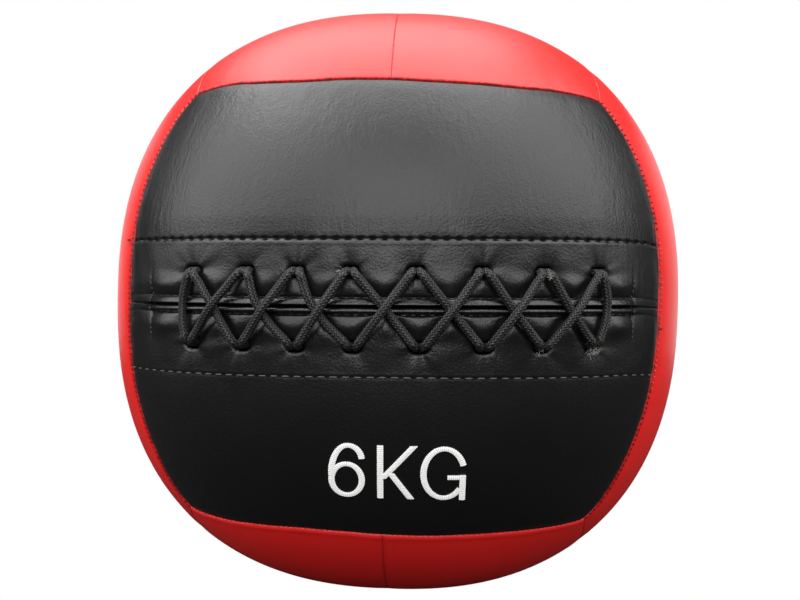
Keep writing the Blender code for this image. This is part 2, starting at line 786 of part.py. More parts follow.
def cut_floor_flat(thing):
    """Cuts a bottom panel level where it stands on the floor."""
    mesh = bmesh.new()
    mesh.from_mesh(thing.data)
    everything = mesh.verts[:] + mesh.edges[:] + mesh.faces[:]
    cut = bmesh.ops.bisect_plane(mesh, geom=everything, plane_co=(0, 0, 0), plane_no=-Z, clear_outer=True)
    edges = [piece for piece in cut["geom_cut"] if isinstance(piece, bmesh.types.BMEdge)]
    bmesh.ops.contextual_create(mesh, geom=edges)
    bmesh.ops.recalc_face_normals(mesh, faces=mesh.faces)
    mesh.to_mesh(thing.data)
    mesh.free()
    smooth(thing)


def main():
    for thing in list(bpy.data.objects):
        bpy.data.objects.remove(thing)
    make_front()
    make_face_halves("back", ("back_lower", "back_upper"), BLACK_LEATHERETTE)
    make_face_halves("top", ("top_left", "top_right"), RED_LEATHERETTE)
    make_face_halves("bottom", ("bottom_left", "bottom_right"), RED_LEATHERETTE)
    make_face_halves("right", ("right_front", "right_back"), RED_LEATHERETTE)
    make_face_halves("left", ("left_front", "left_back"), RED_LEATHERETTE)
    for name in ("bottom_left_panel", "bottom_right_panel"):
        cut_floor_flat(bpy.data.objects[name])
    make_tongue()
    make_lace()
    make_filling("upper_fibre_filling", 1)
    make_filling("lower_fibre_filling", -1)
    make_weight_bag()
    make_iron_sand()
    make_bag_tie()


main()
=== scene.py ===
import math

import bmesh
import bpy
import numpy as np
from mathutils import Matrix, Vector


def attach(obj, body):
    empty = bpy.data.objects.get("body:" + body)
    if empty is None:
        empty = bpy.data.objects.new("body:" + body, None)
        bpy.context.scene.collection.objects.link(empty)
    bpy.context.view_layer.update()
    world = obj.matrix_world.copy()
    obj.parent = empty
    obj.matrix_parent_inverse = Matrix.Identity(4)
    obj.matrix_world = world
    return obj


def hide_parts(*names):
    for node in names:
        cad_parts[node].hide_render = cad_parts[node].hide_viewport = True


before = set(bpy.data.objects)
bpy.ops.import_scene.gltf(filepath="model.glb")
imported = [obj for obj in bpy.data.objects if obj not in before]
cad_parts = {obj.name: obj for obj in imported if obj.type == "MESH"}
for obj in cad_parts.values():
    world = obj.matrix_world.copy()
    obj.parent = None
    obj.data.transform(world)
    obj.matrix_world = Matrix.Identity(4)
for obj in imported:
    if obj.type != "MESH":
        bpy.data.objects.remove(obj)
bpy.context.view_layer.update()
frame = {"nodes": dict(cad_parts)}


# Shared helpers: colours, nodes and meshes

def fromHex(code):
    parts = [int(code[i:i + 2], 16) / 255 for i in (0, 2, 4)]
    return tuple(p / 12.92 if p <= 0.04045 else ((p + 0.055) / 1.055) ** 2.4 for p in parts) + (1,)


def perMm(size):  # noise scale for a feature of this many millimetres
    return 1000 / size


def bandsPerMm(size):  # wave texture scale for one band each so many millimetres
    return 1000 / size * math.pi / 10


def addNode(tree, kind, inputs=None, **settings):  # a node given as an input stands for its first output
    node = tree.nodes.new("ShaderNode" + kind)
    for name, value in settings.items():
        setattr(node, name, value)
    for socket, value in (inputs or {}).items():
        source = value.outputs[0] if isinstance(value, bpy.types.Node) else value
        if isinstance(source, bpy.types.NodeSocket):
            tree.links.new(source, node.inputs[socket])
        else:
            node.inputs[socket].default_value = source
    return node


def newMaterial(name, colour, roughness, **more):
    material = bpy.data.materials.new(name)
    material.use_nodes = True
    tree = material.node_tree
    shader = tree.nodes["Principled BSDF"]
    shader.inputs["Base Color"].default_value = fromHex(colour)
    shader.inputs["Roughness"].default_value = roughness
    for setting, value in more.items():
        shader.inputs[setting.replace("_", " ")].default_value = value
    return material, tree, shader, addNode(tree, "TexCoord").outputs["Object"]


def applyPattern(tree, shader, height, shade, colour, strength=0, rise=0):  # its high places are lighter
    tint = addNode(tree, "Mix", {0: height, 6: fromHex(shade), 7: fromHex(colour)}, data_type="RGBA")
    tree.links.new(tint.outputs[2], shader.inputs["Base Color"])
    if strength:
        bump = addNode(tree, "Bump", {"Height": height, "Strength": strength, "Distance": rise})
        tree.links.new(bump.outputs[0], shader.inputs["Normal"])


def grainy(name, colour, shade, roughness, grainMm, detail, strength=0, rise=0, **more):
    material, tree, shader, coords = newMaterial(name, colour, roughness, **more)
    grain = addNode(tree, "TexNoise", {"Vector": coords, "Scale": perMm(grainMm), "Detail": detail})
    applyPattern(tree, shader, grain, shade, colour, strength, rise)
    return material


def writePoints(piece, points):
    piece.data.vertices.foreach_set("co", points.ravel())
    piece.data.update()


def writeAttribute(piece, name, values):
    layer = piece.data.attributes.new(name, "FLOAT", "POINT")
    layer.data.foreach_set("value", values)


def newPiece(name, points, faces):
    mesh = bpy.data.meshes.new(name)
    mesh.from_pydata(points.tolist(), [], faces)
    piece = bpy.data.objects.new(name, mesh)
    bpy.context.scene.collection.objects.link(piece)
    return piece


def deselect():
    bpy.ops.object.select_all(action="DESELECT")


def choose(*pieces):
    deselect()
    for piece in pieces:
        piece.select_set(True)
    bpy.context.view_layer.objects.active = pieces[0]


def joinPieces(pieces):
    choose(*pieces)
    bpy.ops.object.join()
    return pieces[0]


def smoothShade(piece):
    choose(piece)
    bpy.ops.object.shade_smooth_by_angle(angle=math.radians(50))


def thicken(sheet, thickness):  # inwards, so its outer face stays
    choose(sheet)
    modifier = sheet.modifiers.new("solidify", "SOLIDIFY")
    modifier.thickness = thickness
    modifier.offset = -1
    bpy.ops.object.modifier_apply(modifier=modifier.name)
    smoothShade(sheet)


def setMaterial(piece, material):
    piece.data.materials.clear()
    piece.data.materials.append(material)


def dress(piece, material, slotName, *nodes):
    setMaterial(piece, material)
    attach(piece, "root")
    if nodes:
        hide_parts(*nodes)


def bell(distance, width):
    return np.exp(-(distance / width) ** 2)


def ramp(value, start, length):  # from 0 at the start to 1 at its end
    return np.clip((value - start) / length, 0, 1)


def unit(vectors):
    return vectors / np.linalg.norm(vectors, axis=-1, keepdims=True)


def distancesAlong(points):
    return np.concatenate([[0], np.cumsum(np.linalg.norm(np.diff(points, axis=0), axis=1))])


def pointsAlong(points, places):
    return np.stack([np.interp(places, distancesAlong(points), column) for column in points.T], axis=1)


# The ball's shape and its seams, as the solids have them

ball = {
    "halfSizes": (0.167, 0.1685, 0.1715), "roundness": 2.35, "centre": (0, 0.0041, 0.171),
    "cornerShares": (0.955, 1.0, 0.973), "seamBows": (0.759, 0.78, 0.807),
    "corner": (0.1024, 0.1081, 0.1071), "cornerPull": 0.0036, "cornerReach": 0.0068,
    "grooveLift": 0.001, "grooveSlope": 0.013,
    "grooveDroop": (0.0018, 0.106, 0.03),  # how much, from where and over what length
}

faceAxes = {
    "front": ((0, -1, 0), (1, 0, 0), (0, 0, 1)),
    "back": ((0, 1, 0), (-1, 0, 0), (0, 0, 1)),
    "top": ((0, 0, 1), (0, -1, 0), (1, 0, 0)),
    "bottom": ((0, 0, -1), (0, 1, 0), (1, 0, 0)),
    "right": ((1, 0, 0), (0, 0, -1), (0, 1, 0)),
    "left": ((-1, 0, 0), (0, 0, 1), (0, 1, 0)),
}

halfSizes = np.array(ball["halfSizes"])
centre = np.array(ball["centre"])


def reachOf(directions):
    n = ball["roundness"]
    return (np.abs(directions / halfSizes) ** n).sum(-1) ** (-1 / n)


def surfaceAt(directions):  # from the ball's middle
    return directions * reachOf(directions)[..., None]


# Hand-sewn seams wander: millimetres off the regular line, at places 20 mm apart from -100 to 100
seamWander = {
    "top": (0.9, 1.9, -1.0, -1.8, -0.1, 0.1, -1.7, -2.7, -3.6, -1.9, -0.9),
    "bottom": (-5.6, -2.8, -0.4, 1.1, 0.2, -1.6, -1.8, -0.5, 0.1, -0.3, -0.7),
    "left": (-5.0, -0.9, 0.6, -0.2, 0.5, 2.2, 2.1, 0.5, 1.5, 1.8, 0.0),
    "right": (-0.4, -3.4, -2.7, -1.0, -0.3, 1.4, 3.4, 4.1, 3.7, 2.6, 2.5),
}
wander = {"blend": 0.013, "side": 0.134, "sideBend": 0.0315, "sideHeight": 0.107, "sideWidth": 0.016,
          "level": 0.1072, "levelWidth": 0.02}


def wanderAt(name, place):
    spots = np.linspace(-0.1, 0.1, 11)
    weights = bell(place[..., None] - spots, wander["blend"]) + 1e-9
    return (weights * seamWander[name]).sum(-1) / weights.sum(-1) / 1000


def wandered(directions):
    points = surfaceAt(directions)
    x, y, z = points[..., 0], points[..., 1], points[..., 2]
    front = ramp(-y, 0.02, 0.06) ** 2
    seamX = wander["side"] - wander["sideBend"] * np.abs(z / wander["sideHeight"]) ** 2.3
    moved = points.copy()
    for name, side in (("top", 1), ("bottom", -1)):
        moved[..., 2] += front * wanderAt(name, x) * bell(z - side * wander["level"], wander["levelWidth"])
    for name, side in (("right", 1), ("left", -1)):
        moved[..., 0] += front * wanderAt(name, z) * bell(x - side * seamX, wander["sideWidth"])
    fromCorner = np.linalg.norm(np.abs(points) - np.array(ball["corner"]), axis=-1)
    pull = ball["cornerPull"] * np.exp(-fromCorner / ball["cornerReach"])  # the black faces' corners are rounded
    moved[..., 0] -= np.sign(x) * 0.69 * pull
    moved[..., 2] -= np.sign(z) * 0.72 * pull
    return unit(moved)


def faceDirections(face, longShare, shortShare):
    outward, longAxis, shortAxis = (np.array(axis, float) for axis in faceAxes[face])
    u, v = np.tan(longShare * math.pi / 4)[..., None], np.tan(shortShare * math.pi / 4)[..., None]
    endBow = (np.abs(shortAxis) * ball["seamBows"]).sum()
    sideBow = (np.abs(longAxis) * ball["seamBows"]).sum()
    reach = 1 / (endBow + (1 - endBow) * v * v)
    rise = sideBow + (reach - sideBow) * u * u
    cube = outward + longAxis * (u * reach) + shortAxis * (v * rise)
    return wandered(unit(cube * ball["cornerShares"] * halfSizes))


def pointsAt(directions, depth):
    return centre + directions * (reachOf(directions) - depth)[..., None]


def facePoints(face, longShare, shortShare):
    return surfaceAt(faceDirections(face, longShare, shortShare))


def shareLengths(face, longShare, shortShare):  # metres of surface for one whole share, each way
    here, step = facePoints(face, longShare, shortShare), 1e-4
    return [np.linalg.norm(facePoints(face, longShare + long, shortShare + short) - here, axis=-1) / step
            for long, short in ((step, 0), (0, step))]


def grooveHeight(x):
    droop, start, length = ball["grooveDroop"]
    return ball["grooveLift"] + ball["grooveSlope"] * x - droop * ramp(x, start, length) ** 2


def frontDirections(x, z):  # z from the ball's middle
    n = ball["roundness"]
    rest = 1 - np.abs(x / halfSizes[0]) ** n - np.abs(z / halfSizes[2]) ** n
    return unit(np.stack([x, -halfSizes[1] * rest ** (1 / n), z], axis=-1))


def frontAt(x, height):  # height from the groove
    return frontDirections(x, height + grooveHeight(x))


def shareAtLevel(longShare, level):  # the front's narrow share at a height from the groove
    low, high = np.full(np.shape(longShare), -0.9), np.full(np.shape(longShare), 0.9)
    for _ in range(30):
        middle = (low + high) / 2
        place = facePoints("front", longShare, middle)
        under = place[..., 2] - grooveHeight(place[..., 0]) < level
        low, high = np.where(under, middle, low), np.where(under, high, middle)
    return (low + high) / 2


# Lace and eyelet places, which the leather answers to

lacing = {
    "reach": 0.0975,
    "shares": {1: (-0.917, -0.643, -0.399, -0.153, 0.142, 0.44, 0.725, 1.0),
               -1: (-0.929, -0.663, -0.402, -0.137, 0.162, 0.452, 0.724, 0.978)},
    "heights": {1: 0.0156, -1: -0.0179},
    "diameter": 0.0038,
    "gap": -0.0011,  # two strands share a hole and press into each other
    "bend": 0.0035, "middleDepth": 0.0016, "insideDepth": 0.006, "deepDepth": 0.0096,
    "underHeight": 0.0017, "underDip": 0.0006, "underWidth": 0.005, "overRise": 0.0025, "overWidth": 0.014,
    "endBows": (-0.003, 0.0036),  # the two end strands bow outwards
    "slack": (0, -0.0042, -0.0038, 0.0004, 0, -0.0005, -0.0008),  # the lower slants hang a little to one side
    "step": 0.00036, "sides": 20,
}
spread = (lacing["diameter"] + lacing["gap"]) / 2
grooveSides = {"upper": 1, "lower": -1}


def eyeletPlaces(side):
    return [(share * lacing["reach"], lacing["heights"][side]) for share in lacing["shares"][side]]


def strandEnd(side, k, shift):
    x, height = eyeletPlaces(side)[k]
    return x + shift * spread, height


def visibleStrands():  # the lower end, the upper end and the bow of each
    runs = []
    for k, slack in enumerate(lacing["slack"]):
        runs += [((k, 1), (k + 1, -1), 0), ((k + 1, -1), (k, 1), slack)]
    runs += [((0, -1), (0, -1), lacing["endBows"][0]), ((7, 1), (7, 1), lacing["endBows"][1])]
    return [(strandEnd(-1, *low), strandEnd(1, *high), bow) for low, high, bow in runs]


# Leatherette: cloth coated with soft polyurethane, embossed with a fine pebble grain.
# The eye sees a satin film, tiny pebbles and, where the cover is drawn tight, fine creases; along the seams a painted
# shade darkens it.

def leatherette(name, look):
    roughness, grainMm = look["roughness"], look["grainMm"]
    material, tree, shader, coords = newMaterial(name, look["colour"], roughness)
    clouds = addNode(tree, "TexNoise", {"Vector": coords, "Scale": perMm(look["cloudMm"]), "Detail": 3})
    tint = addNode(tree, "Mix", {0: clouds, 6: fromHex(look["shade"]), 7: fromHex(look["colour"])}, data_type="RGBA")
    # painted shade: a darker colour painted in a band along the seams, where the rolled edges turn into shade, broken
    # into patches by noise
    broken = addNode(tree, "TexNoise", {"Vector": coords, "Scale": perMm(3), "Detail": 2})
    patchy = addNode(tree, "MapRange", {"Value": broken, "From Min": 0.4, "From Max": 0.6, "To Min": 0.35})
    paintedShadeMask = addNode(tree, "Attribute", attribute_name="paintedSeamShade").outputs["Fac"]
    seam = addNode(tree, "Math", {0: paintedShadeMask, 1: patchy}, operation="MULTIPLY")
    paintedShadeMix = addNode(tree, "Mix", {0: seam, 6: tint.outputs[2], 7: fromHex(look["paintedShadeColour"])}, data_type="RGBA")
    tree.links.new(paintedShadeMix.outputs[2], shader.inputs["Base Color"])
    gloss = addNode(tree, "MapRange", {"Value": clouds, "To Min": roughness - 0.05, "To Max": roughness + 0.06})
    rubbed = addNode(tree, "Attribute", attribute_name="polished").outputs["Fac"]
    smoother = addNode(tree, "Math", {0: rubbed, 1: -0.17, 2: gloss}, operation="MULTIPLY_ADD")
    tree.links.new(smoother.outputs[0], shader.inputs["Roughness"])
    pebbles = addNode(tree, "TexVoronoi", {"Vector": coords, "Scale": perMm(grainMm), "Smoothness": 0.6},
                      feature="SMOOTH_F1")
    fine = addNode(tree, "TexNoise", {"Vector": coords, "Scale": perMm(grainMm / 2), "Detail": 2})
    grain = addNode(tree, "Math", {0: pebbles, 1: fine}, operation="ADD")
    bump = addNode(tree, "Bump", {"Height": grain, "Strength": look["grainStrength"], "Distance": grainMm / 6000})
    if "creaseMm" in look:
        stretched = addNode(tree, "Mapping", {"Vector": coords, "Scale": (1, 1, look["creaseStretch"])})
        creases = addNode(tree, "TexNoise", {"Vector": stretched, "Scale": perMm(look["creaseMm"]), "Detail": 3,
                                             "Roughness": 0.5, "Distortion": 0.6})
        where = addNode(tree, "Attribute", attribute_name="creased").outputs["Fac"]
        height = addNode(tree, "Math", {0: creases, 1: where}, operation="MULTIPLY")
        bump = addNode(tree, "Bump", {"Height": height, "Normal": bump, "Strength": look["creaseStrength"],
                                      "Distance": 0.0006})
    tree.links.new(bump.outputs[0], shader.inputs["Normal"])
    return material


# paintedShadeColour: the colour of the painted shade along the seams
blackLook = {"colour": "101011", "shade": "0C0C0D", "paintedShadeColour": "0A0A0A", "roughness": 0.355, "cloudMm": 40,
             "grainMm": 1.1, "grainStrength": 0.5, "creaseMm": 2.6, "creaseStretch": 0.22, "creaseStrength": 0.55}
redLook = {"colour": "F01F1B", "shade": "E81814", "paintedShadeColour": "8E1216", "roughness": 0.42, "cloudMm": 60,
           "grainMm": 1.0, "grainStrength": 0.22}
leathers = {"black": leatherette("black polyurethane leatherette", blackLook),
            "red": leatherette("red polyurethane leatherette", redLook)}


# Cover panels

cover = {
    "thickness": 0.0012, "length": 0.29, "width": 0.118, "step": 0.0022,
    "seamSteps": (0, 0.00025, 0.0005, 0.0008, 0.0012, 0.0018, 0.0026, 0.0036, 0.0048, 0.0063, 0.0081),
    "seamDraw": {"red": 0.00015, "redToBlack": 0.0002, "black": 0.0004, "blackUnder": 0.0006},  # a seam draws it in
    "seamDrawWidth": 0.0038,
    "seamRoll": {"red": 0.0004, "redToBlack": 0.0011, "black": 0.0007, "blackUnder": 0.0015},  # radius of its edge
    "beadRise": 0.00038, "beadPlace": 0.0019, "beadWidth": 0.0016,
    "puckerDepth": 0.00018, "puckerReach": 0.013,
    "puckerWaves": ((0.0127, 0.7), (0.021, 1.0), (0.034, 0.9), (0.055, 0.7)),  # length and amount
    # how far from each seam the painted seam shade reaches
    "paintedShadeWidth": {"top": 0.0022, "bottom": 0.0008, "side": 0.0018, "plain": 0.0009},
    "creaseReach": 0.03,
}


def seamDepth(distance, kind):
    roll = cover["seamRoll"][kind]
    near = np.clip(1 - distance / roll, 0, 1)
    return cover["seamDraw"][kind] * bell(distance, cover["seamDrawWidth"]) + roll * (1 - np.sqrt(1 - near ** 2))


def seamsDepth(sides, kinds):
    return sum(seamDepth(side, kind) ** 4 for side, kind in zip(sides, kinds)) ** 0.25


def ripple(place, seed):
    return sum(amount * np.sin(2 * math.pi * place / length + seed * (1.7 + 0.9 * k))
               for k, (length, amount) in enumerate(cover["puckerWaves"])) / 2


def puckers(sides, places, seed):
    return cover["puckerDepth"] * sum(
        np.exp(-side / cover["puckerReach"]) * ripple(place, seed + k) * ramp(side, 0, 0.006)
        for k, (side, place) in enumerate(zip(sides, places)))


def seamSpaced(length):  # shares from 0 to 1, close together beside a seam
    near = np.array(cover["seamSteps"]) / length
    count = max(2, round((1 - 2 * near[-1]) * length / cover["step"]))
    between = np.linspace(near[-1], 1 - near[-1], count + 1)[1:-1]
    return np.concatenate([near, between, 1 - near[::-1]])


def addSheet(name, columnCount, rowCount):
    deselect()
    bpy.ops.mesh.primitive_grid_add(x_subdivisions=columnCount - 1, y_subdivisions=rowCount - 1, size=2)
    sheet = bpy.context.object
    sheet.name = sheet.data.name = name
    rows, columns = np.divmod(np.arange(columnCount * rowCount), columnCount)
    return sheet, columns, rows


def kindOf(face, edge, start):  # edges: the two ends, then the lower and the upper long edge
    if face == "back":
        return "black"
    meetsBlack = edge < 2 if face in ("top", "bottom") else edge == start + 3
    return "redToBlack" if meetsBlack else "red"


def makePlainPanel(name, face, start, colour, seed):
    u, v = seamSpaced(cover["length"]) * 2 - 1, start + seamSpaced(cover["width"])
    sheet, columns, rows = addSheet(name + "_cover", len(u), len(v))
    uu, vv = u[columns], v[rows]
    along, across = shareLengths(face, uu, vv)
    sides = [(1 - uu) * along, (1 + uu) * along, (vv - start) * across, (start + 1 - vv) * across]
    places = [vv * across, vv * across, uu * along, uu * along]
    kinds = [kindOf(face, edge, start) for edge in range(4)]
    depth = seamsDepth(sides, kinds) + puckers(sides, places, seed * 4)
    if face == "bottom":  # the cover's edge stands up as a small bead
        for side in sides[:2]:
            depth -= cover["beadRise"] * bell(side - cover["beadPlace"], cover["beadWidth"])
    points = pointsAt(faceDirections(face, uu, vv), depth)
    points[:, 2] = np.maximum(points[:, 2], 0)  # the ball flattens a little where it stands
    writePoints(sheet, points)
    writeAttribute(sheet, "creased", 0.25 + 0.5 * bell(np.minimum.reduce(sides), cover["creaseReach"]))
    # painted shade: a band of darker colour along each seam, weaker on the bottom
    widths = cover["paintedShadeWidth"]
    redToBlack = widths.get(face, widths["side"])
    paintedShades = [bell(side, redToBlack if kind == "redToBlack" else widths["plain"]) for side, kind in zip(sides, kinds)]
    writeAttribute(sheet, "paintedSeamShade", np.maximum.reduce(paintedShades) * (0.6 if face == "bottom" else 1))
    thicken(sheet, cover["thickness"])
    dress(sheet, leathers[colour], colour + "_leatherette", name + "_panel")


plainPanels = {"back": ("lower", "upper"), "top": ("left", "right"), "bottom": ("left", "right"),
               "right": ("front", "back"), "left": ("front", "back")}
for k, (face, halves) in enumerate(plainPanels.items()):
    for j, half in enumerate(halves):
        makePlainPanel(face + "_" + half, face, j - 1, "black" if face == "back" else "red", 2 * k + j)
print("plain panels made")


# Front panels: the laced closure with its lips, eyelets, drawn leather and hems

closure = {
    "lipRise": 0.0017, "lipsEnd": 0.117, "lipsFade": 0.002,
    "upperCrest": 0.0007, "lowerCrest": 0.0019, "lowerHalfWidth": 0.0014,
    "valley": 0.0006, "valleyWidth": 0.007, "grooveDepth": 0.0018,
    "foot": {1: 0.0040, -1: 0.0037}, "footCrease": 0.0007,
    "hem": {1: (0.0294, 0.0012), -1: (0.0310, 0.0019)},  # height at the middle, and how much higher near the ends
    "hemEnd": 0.12, "hemDepth": 0.00048, "hemWidth": 0.0008, "hemStep": 0.0004, "hemPitch": 0.0054,
    "foldRise": (0.00022, 0.00016),  # at the middle, and how much less near the ends
    "notch": 0.0013, "notchLength": 0.0012,
    "holeHalfWidth": 0.0036, "holeHalfHeight": 0.0025, "holeRoundness": 2.6, "holeRoll": 0.0013,
    "dimple": 0.0009, "dimpleWidth": 0.0062, "wrinkle": 0.00026, "wrinkleReach": 0.014,
    "strandPress": 0.0011, "strandWidth": 0.0028, "puff": 0.0013,
    "tackPlaces": (-0.1145, 0.1164), "tackDepth": 0.0005,
    "wave": 0.00015, "stripTop": 0.0345, "step": 0.00066, "outerWidth": 0.085,
}


def lipShare(x):  # the lips flatten past the bar tacks
    return 1 / (1 + np.exp((np.abs(x) - closure["lipsEnd"]) / closure["lipsFade"]))


def hemHeight(side, x):
    middle, more = closure["hem"][side]
    return middle + more * (x / closure["hemEnd"]) ** 2


def holeMeasure(x, height, eyelet):  # 1 on the hole's edge
    power = closure["holeRoundness"]
    across = np.abs(x - eyelet[0]) / closure["holeHalfWidth"]
    up = np.abs(height - eyelet[1]) / closure["holeHalfHeight"]
    return (across ** power + up ** power) ** (1 / power)


def strandDistance(x, height, strand):
    (ax, ay), (bx, by), bow = strand
    dx, dy = bx - ax, by - ay
    x = x - bow * np.sin(math.pi * ramp(height, ay, dy))
    share = np.clip(((x - ax) * dx + (height - ay) * dy) / (dx * dx + dy * dy), 0, 1)
    return np.hypot(x - ax - share * dx, height - ay - share * dy), share


def lipsDepth(side, x, level, foot):
    inner = lipShare(x)
    if side > 0:  # the upper lip slopes gently from its crest beside the groove, the lower one is a narrow roll
        crest = closure["upperCrest"]
        roll = (1 - ramp(level, crest, foot - 0.0003 - crest) ** 1.3) * ramp(level, 0.0002, 0.0004) ** 0.5
    else:
        roll = np.sqrt(np.clip(1 - ((level - closure["lowerCrest"]) / closure["lowerHalfWidth"]) ** 2, 0, 1))
    depth = closure["valley"] * bell(level, closure["valleyWidth"]) * (0.3 + 0.7 * inner)
    depth -= closure["lipRise"] * (0.07 + 0.93 * inner) * roll * (1 + 0.12 * ripple(x, 31 + side))
    creases = closure["footCrease"] * bell(level - foot, 0.0006) + closure["grooveDepth"] * bell(level, 0.00045)
    return depth + creases * (0.2 + 0.8 * inner)


def hemDepth(side, x, level):
    fromHem = level - hemHeight(side, x)
    foldRise, less = closure["foldRise"]
    fold = foldRise - less * ramp(np.abs(x), 0, closure["hemEnd"])
    depth = closure["hemDepth"] * bell(fromHem, closure["hemWidth"])
    depth -= fold * bell(fromHem + 0.0013, closure["hemWidth"])  # the strip's folded edge stands a little proud
    depth += closure["hemStep"] * (1 - ramp(fromHem, 0, 0.01)) * ramp(fromHem, -0.0003, 0.0006)
    if side < 0:
        return 0.35 * depth
    alongHem = (x / closure["hemPitch"] + 0.5) % 1 - 0.5
    spot = np.hypot(alongHem * closure["hemPitch"] / closure["notchLength"], (fromHem - 0.0004) / 0.0009)
    return depth + closure["notch"] * bell(spot, 0.8)


def eyeletsDepth(side, x, height):  # rolled edges, dimples, and wrinkles that fan out from them
    depth = 0
    for k, (middleX, middleHeight) in enumerate(eyeletPlaces(side)):
        dx, dy = x - middleX, height - middleHeight
        distance, turn = np.hypot(dx, dy), np.arctan2(dy, dx)
        edge = 1 - ramp(holeMeasure(x, height, (middleX, middleHeight)), 1, 0.45)
        fan = np.sin((4 + k % 3) * turn + 2.1 * k + side) + 0.5 * np.sin((8 + k % 2) * turn + 1.3 * k)
        grown = ramp(distance, 0, 0.004) ** 2 * np.exp(-distance / closure["wrinkleReach"])
        strength = closure["wrinkle"] * (0.7 + 0.5 * (k == 0) + 0.25 * math.sin(3.7 * k + side))
        depth = depth + closure["holeRoll"] * edge ** 2 + closure["dimple"] * bell(distance, closure["dimpleWidth"])
        depth += strength * grown * fan * ramp(np.abs(height), 0.005, 0.003)
    return depth


def strandsDepth(x, height, foot):  # pressed in under the strands, puffed up between them
    depth, nearest, fromFoot = 0, 1.0, np.abs(height) - foot
    for strand in visibleStrands():
        distance, share = strandDistance(x, height, strand)
        nearest = np.minimum(nearest, distance)
        press = np.clip(4 * share * (1 - share), 0, 1) * np.clip(fromFoot / 0.0012, 0.08, 1)
        depth = depth + closure["strandPress"] * bell(distance, closure["strandWidth"]) * press
    return depth - closure["puff"] * (1 - bell(nearest, 0.0045)) * bell(fromFoot - 0.0055, 0.0042) * lipShare(x)


def tacksDepth(x, level):
    depth = 0
    for tack in closure["tackPlaces"]:
        reach = bell(level, 0.0115) * np.clip((level - 0.0035) / 0.001, 0.15, 1)
        depth = depth + (1.9 * bell(x - tack, 0.0008) + 1.2 * bell(x - tack, 0.004)) * reach
        swell = (x - tack) * (1 if tack < 0 else -1) - 0.009  # the leather swells between tack and lace
        depth -= 1.4 * bell(swell, 0.006) * bell(level - 0.009, 0.005)
    return closure["tackDepth"] * depth


def closureDepth(side, x, height):
    level = np.abs(height)
    foot = closure["foot"][side]
    inStrip = ramp(closure["stripTop"] - level, 0, 0.006) * ramp(level, 0.005, 0.004)
    waves = ripple(x + 0.4 * height, 3 + side) + 0.6 * ripple(0.6 * x - height, 8 + side)
    return (lipsDepth(side, x, level, foot) + hemDepth(side, x, level) + eyeletsDepth(side, x, height)
            + strandsDepth(x, height, foot) + tacksDepth(x, level) + closure["wave"] * inStrip * waves)


def closureRows(side):
    lips = np.concatenate([[0.00012], np.arange(0.0004, 0.0043, 0.00024), [0.0047, 0.0053, 0.0058]])
    strip = np.arange(0.0063, 0.0285, 0.0008)
    hem = np.arange(0.0287, 0.0336, 0.00035)
    return np.concatenate([lips, strip, hem, [closure["stripTop"]]]) * side


def makeFrontSheet(name, side, step, behind=0, stripOnly=False):
    ends = np.array(cover["seamSteps"][:8]) * 2 / cover["length"]
    middle = np.linspace(-1 + ends[-1], 1 - ends[-1], round(cover["length"] / step))[1:-1]
    u = np.concatenate([-1 + ends, middle, 1 - ends[::-1]])
    levels = closureRows(side)
    if stripOnly:
        levels = levels[np.abs(levels) > 0.0019][::2]
    grid = [shareAtLevel(u, np.full(len(u), level)) for level in levels]
    if not stripOnly:
        edge, shares = grid[-1], seamSpaced(closure["outerWidth"])[3:]
        grid += [edge + (side - edge) * share for share in shares if share > 0.02]
    grid = np.stack(grid, axis=1)
    sheet, columns, rows = addSheet(name, *grid.shape)
    uu, vv = u[columns], grid[columns, rows]
    place = facePoints("front", uu, vv)
    x, height = place[:, 0], place[:, 2] - grooveHeight(place[:, 0])
    along, across = shareLengths("front", uu, vv)
    sides = [(1 - uu) * along, (1 + uu) * along, (1 - side * vv) * across]
    kinds = ("blackUnder", "blackUnder", "blackUnder" if side > 0 else "black")  # the red lies over the black
    waved = puckers(sides, (vv * across, vv * across, uu * along), 50 + 3 * side)
    depth = closureDepth(side, x, height) + seamsDepth(sides, kinds) + waved + behind
    writePoints(sheet, pointsAt(faceDirections("front", uu, vv), depth))
    if side < 0:
        sheet.data.flip_normals()
    return sheet, x, height


def openEyelets(sheet, side, x, height, thickness):
    inside = np.minimum.reduce([holeMeasure(x, height, eyelet) for eyelet in eyeletPlaces(side)]) < 1
    mesh = bmesh.new()
    mesh.from_mesh(sheet.data)
    mesh.verts.ensure_lookup_table()
    bmesh.ops.delete(mesh, geom=[vert for vert in mesh.verts if inside[vert.index]], context="VERTS")
    mesh.to_mesh(sheet.data)
    mesh.free()
    thicken(sheet, thickness)


def makeFrontPanel(name, side):
    sheet, x, height = makeFrontSheet("front_" + name + "_cover", side, closure["step"])
    level = np.abs(height)
    beyond = ramp(level, 0.031, 0.002)
    if side > 0:
        upper = 0.52 + 0.38 * ramp(height, 0.05, 0.05) + 0.1 * ramp(np.abs(x - 0.005), 0.07, 0.04)
        creased = beyond * upper + (1 - beyond) * 0.7 * ramp(x, 0.085, 0.02)
    else:
        creased = beyond * 0.2 + (1 - beyond) * 0.3
    writeAttribute(sheet, "creased", creased)
    writeAttribute(sheet, "polished", bell(level - 0.002, 0.0025) * lipShare(x))  # handling polishes the lips most
    openEyelets(sheet, side, x, height, cover["thickness"])
    dress(sheet, leathers["black"], "black_leatherette", "front_" + name + "_panel")


for name, side in grooveSides.items():
    makeFrontPanel(name, side)
print("front panels made")


# Webbing behind the eyelets

